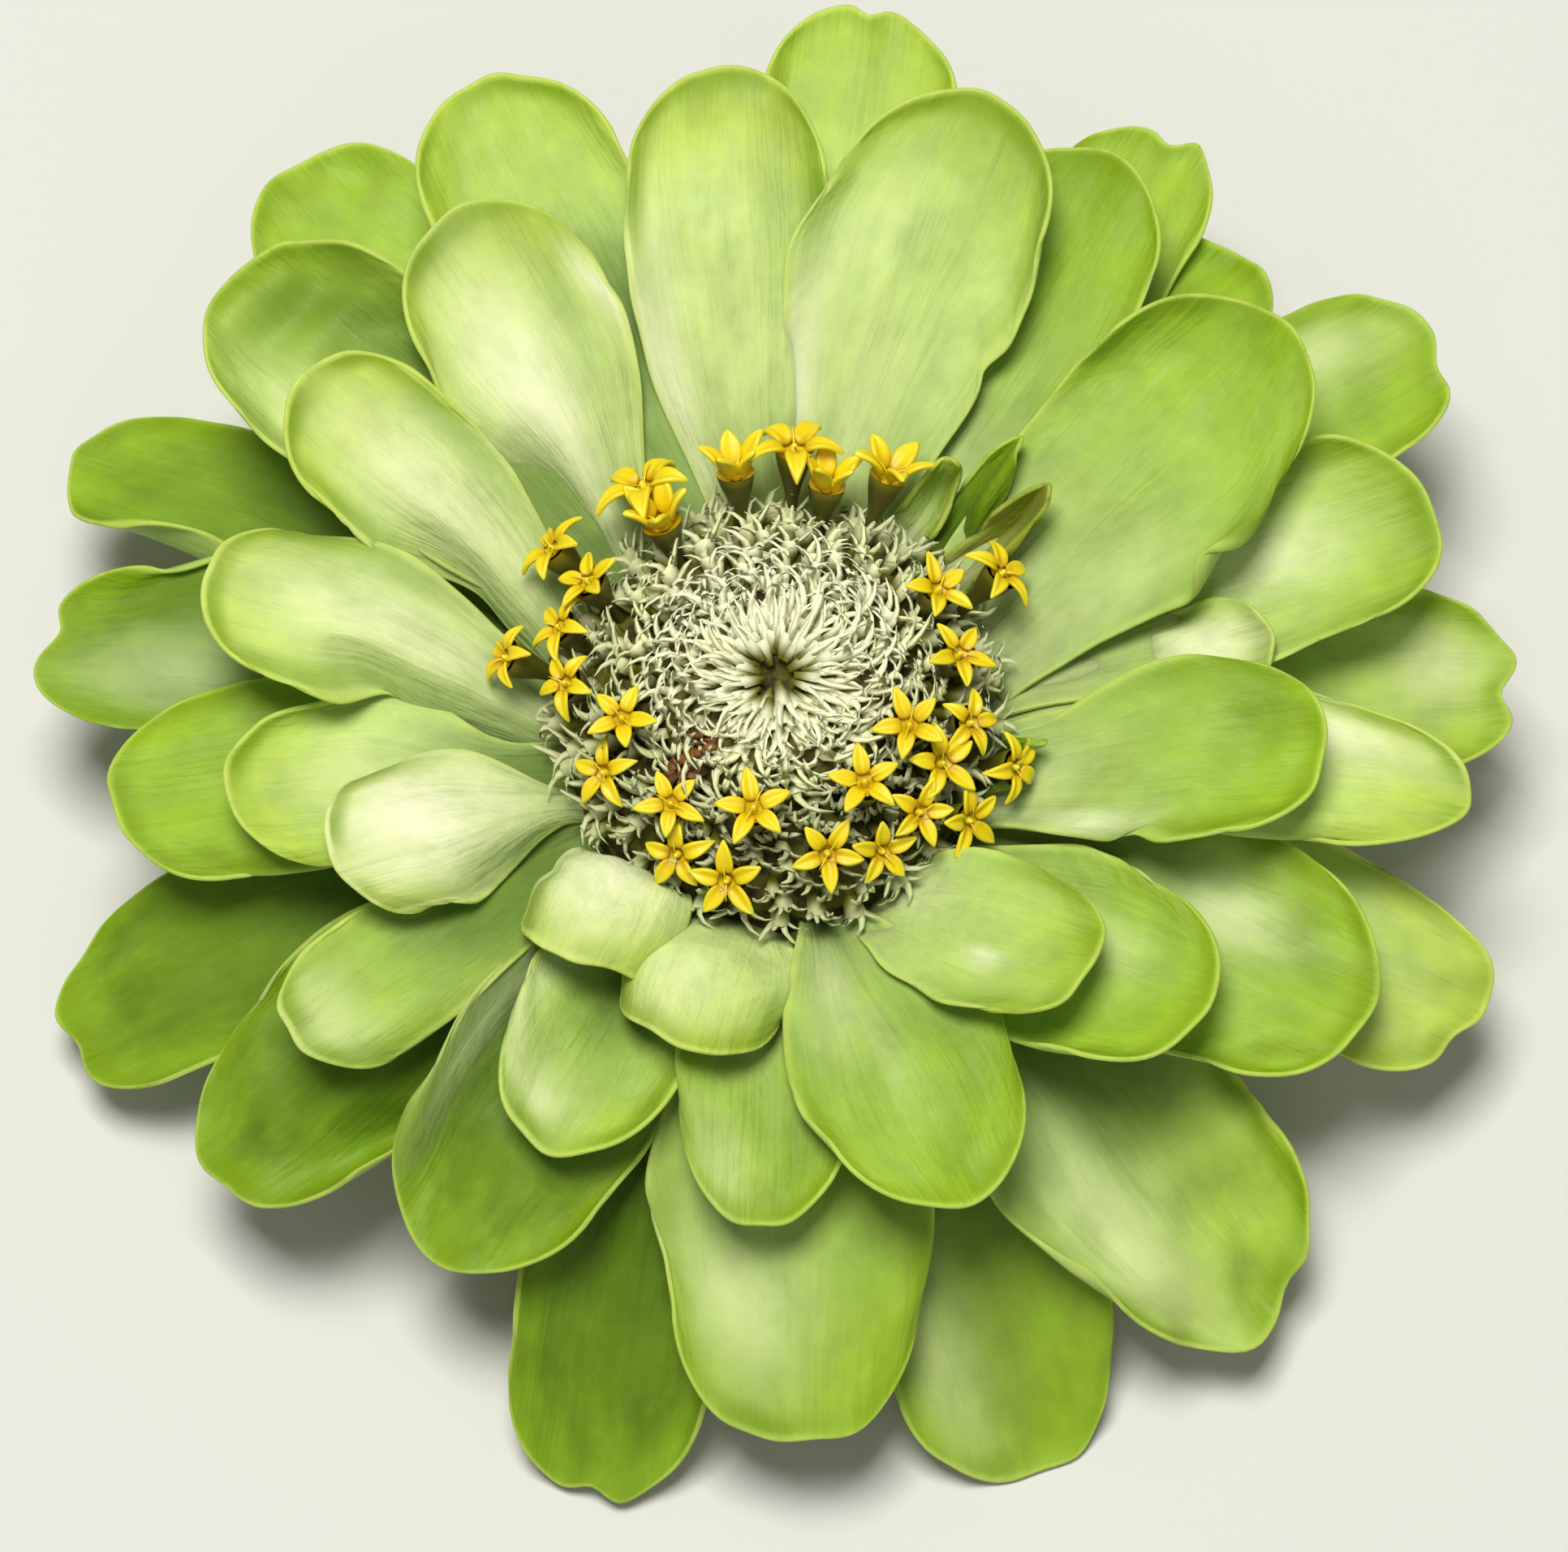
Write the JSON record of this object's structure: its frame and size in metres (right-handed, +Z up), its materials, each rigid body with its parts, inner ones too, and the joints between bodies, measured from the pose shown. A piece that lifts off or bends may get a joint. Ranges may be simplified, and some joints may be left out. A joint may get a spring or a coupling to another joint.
{
  "type": "zinnia flower",
  "caption": "Lime-green double zinnia bloom, cut on a short stub and lying face up, with layered ray petals, a pale chaff cone and a ring of yellow disc florets.",
  "frame": {"origin": "middle of the underside of the bloom's box, on the surface that it lies on", "axes": "+Z up along the flower's axis, -Y towards the side that the picture is taken from, +X to the right"},
  "size_m": [0.0906, 0.092, 0.0283],
  "materials": {
    "stalk": "dull, finely ribbed and hairy green stalk",
    "scale_green": "dull green scales with dark papery margins",
    "petal_green": "soft satin lime-green petals, finely veined, with a thin pale rim",
    "chaff": "dry, pale, fringed bracts",
    "floret_yellow": "soft golden-yellow lobes on dark olive tubes"
  },
  "bodies": {
    "root": {"stem": "stalk", "involucre": "scale_green", "ray_petals": "petal_green", "chaff_cone": "chaff", "disc_florets": "floret_yellow"}
  },
  "joints": []
}
